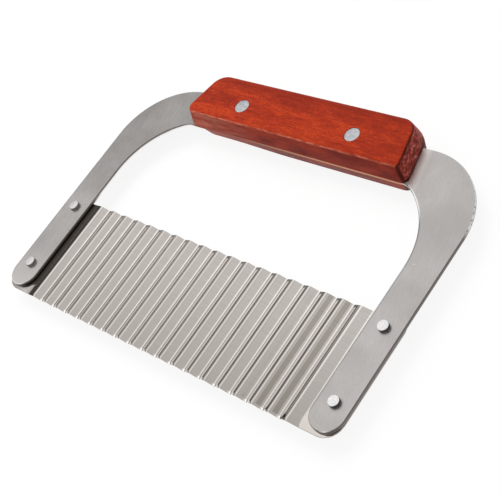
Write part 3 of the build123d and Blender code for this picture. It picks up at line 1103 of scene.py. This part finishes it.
# %% Rims and wood material
rim_share = product(
    tree, span(tree, facing_z, 0.3, 0.5, smooth=True),
    span(tree, facing_z, 0.75, 0.97, 1.0, 0.0, smooth=True))
scuffs = span(tree, noise(tree, 900, (0.3, 1, 1), detail=3), 0.38, 0.62, 0.15, 0.9)
rim_under = span(tree, normal_y, -0.75, -0.25, 1.0, 0.0)
wood_tone = mix(tree, product(tree, rim_share, rim_under, scuffs), wood_tone, (0.72, 0.20, 0.12))
end_rim = product(tree, rim_share, span(tree, facing_x, 0.25, 0.6))
low_corner = product(
    tree, span(tree, facing_x, 0.2, 0.4), span(tree, facing_x, 0.75, 0.92, 1.0, 0.0),
    span(tree, normal_y, -0.5, -0.3, 1.0, 0.0), span(tree, at_x, 0, 1 * mm))
dark_rim = product(tree, larger(tree, end_rim, low_corner), 0.85)
wood_tone = mix(tree, dark_rim, wood_tone, (0.045, 0.007, 0.006))
grain_height = mix(tree, end_share, maths(tree, "SUBTRACT", fibres, pores), rough_cut)
fill(tree, wood_shader, {
    "Base Color": wood_tone, "Roughness": span(tree, fibres, 0.3, 0.7, 0.42, 0.56),
    "Specular IOR Level": 0.1, "Specular Tint": (1.0, 0.5, 0.35, 1.0),
    "Normal": relief(tree, grain_height, 0.5, 0.08 * mm)})
finish_piece(handle, wood_finish, "handle_wood", "wood_handle")

# %% [markdown]
# ## Handle pins
#
# Each pin is a length of aluminium rod, driven in and sanded flush with both faces. A
# cylinder would do for its shape, but the profile also rounds its edge. Sanding leaves the
# face matt and slightly mottled.

# %% Pins
def arc_profile(centre_r, centre_z, radius, start, stop, samples=6):
    """Round of a profile between two angles in degrees: centre plus radius (cos a, sin a)."""
    angle = np.radians(np.linspace(start, stop, samples))
    return [(centre_r + radius * cos(a), centre_z + radius * sin(a)) for a in angle]


pin_finish, pin_shader = new_finish("pin_aluminium")
tree = pin_finish.node_tree
mottle = noise(tree, 900, detail=4, roughness=0.6)
sanding = noise(tree, 3200, (0.08, 1, 1), detail=2)
pin_tone = ramp(tree, weighted(tree, mottle, sanding, 0.6), [
    (0.38, (0.33, 0.335, 0.36)), (0.5, (0.42, 0.425, 0.445)), (0.62, (0.56, 0.56, 0.57))])
fill(tree, pin_shader, {
    "Base Color": pin_tone, "Metallic": 1.0, "Roughness": span(tree, mottle, 0.3, 0.7, 0.38, 0.55),
    "Normal": relief(tree, sanding, 0.3, 0.02 * mm)})
pin_edge, pin_top = 0.3 * mm, handle_high.z
pin_profile = [
    (0, 0), *arc_profile(pin_radius - pin_edge, pin_edge, pin_edge, -90, 0),
    *arc_profile(pin_radius - pin_edge, pin_top - pin_edge, pin_edge, 0, 90), (0, pin_top)]
for side, (x, y) in zip(("left", "right"), pin_places):
    pin = turned("flush_pin_" + side, pin_profile, x, y)
    finish_piece(pin, pin_finish, "pin_aluminium", "handle_pin_" + side)

# %% [markdown]
# ## Blade rivets
#
# Four soft aluminium rivets clamp the blade behind the legs. The heads have fine dents and
# sides painted dark as painted shade, and are darker at the left. One finish serves all four,
# because the place of a point tells which head it is on.

# %% Rivet finish
rivet_finish, rivet_shader = new_finish("rivet_aluminium")
tree = rivet_finish.node_tree
dents = noise(tree, 1300, detail=3, roughness=0.6)
head_tone = ramp(tree, dents, [
    (0.36, (0.56, 0.55, 0.545)), (0.5, (0.66, 0.65, 0.645)), (0.64, (0.76, 0.75, 0.745))])
to_right = span(tree, parts(tree, "Object")[0], -60 * mm, 60 * mm)
head_tone = mix(tree, to_right, mix(tree, 0.5, head_tone, (0.54, 0.53, 0.525)), head_tone)
facing_z = size_of(tree, parts(tree, "Normal")[2])
# Painted shade on the sides of the heads, darkest at the right.
rivet_side = span(tree, facing_z, 0.35, 0.85, 0.9, 0.0)
rivet_side_shade = mix(tree, to_right, (0.20, 0.19, 0.185), (0.055, 0.05, 0.048))
fill(tree, rivet_shader, {
    "Base Color": mix(tree, rivet_side, head_tone, rivet_side_shade), "Metallic": 1.0,
    "Roughness": span(tree, dents, 0.35, 0.65, 0.36, 0.5),
    "Normal": relief(tree, dents, 0.4, 0.05 * mm)})
print("rivet finish: %d nodes" % len(tree.nodes))

# %% [markdown]
# Each rivet is one turned piece with a flat head, a shank and a hammered tail. A cylinder with
# a Bevel modifier would look the same from the front, but would lack the shank and be
# perfectly round.

# %% Rivets
head_radius, head_edge = 2.2 * mm, 0.2 * mm
tail_radius, tail_edge = 2.05 * mm, 0.4 * mm
shank_radius = 1.5 * mm
hammered = 0.008
sheet_back_z = strap_low.z - sheet_thickness
for name in ("lower_left", "lower_right", "upper_left", "upper_right"):
    low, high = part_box("blade_rivet_" + name)
    profile = [
        (0, low.z), *arc_profile(tail_radius - tail_edge, low.z + tail_edge, tail_edge, -90, 0),
        (tail_radius, sheet_back_z), (shank_radius, sheet_back_z),
        (shank_radius, strap_high.z), (head_radius, strap_high.z),
        *arc_profile(head_radius - head_edge, high.z - head_edge, head_edge, 0, 90), (0, high.z)]
    middle_x, middle_y = (low.x + high.x) / 2, (low.y + high.y) / 2
    rivet = turned("rivet_" + name, profile, middle_x, middle_y, wobble=hammered)
    finish_piece(rivet, rivet_finish, "rivet_aluminium", "blade_rivet_" + name)

# %% [markdown]
# ## Last settings
#
# Standard colours keep the white table white.

# %% Render settings
bpy.context.scene.view_settings.view_transform = "Standard"
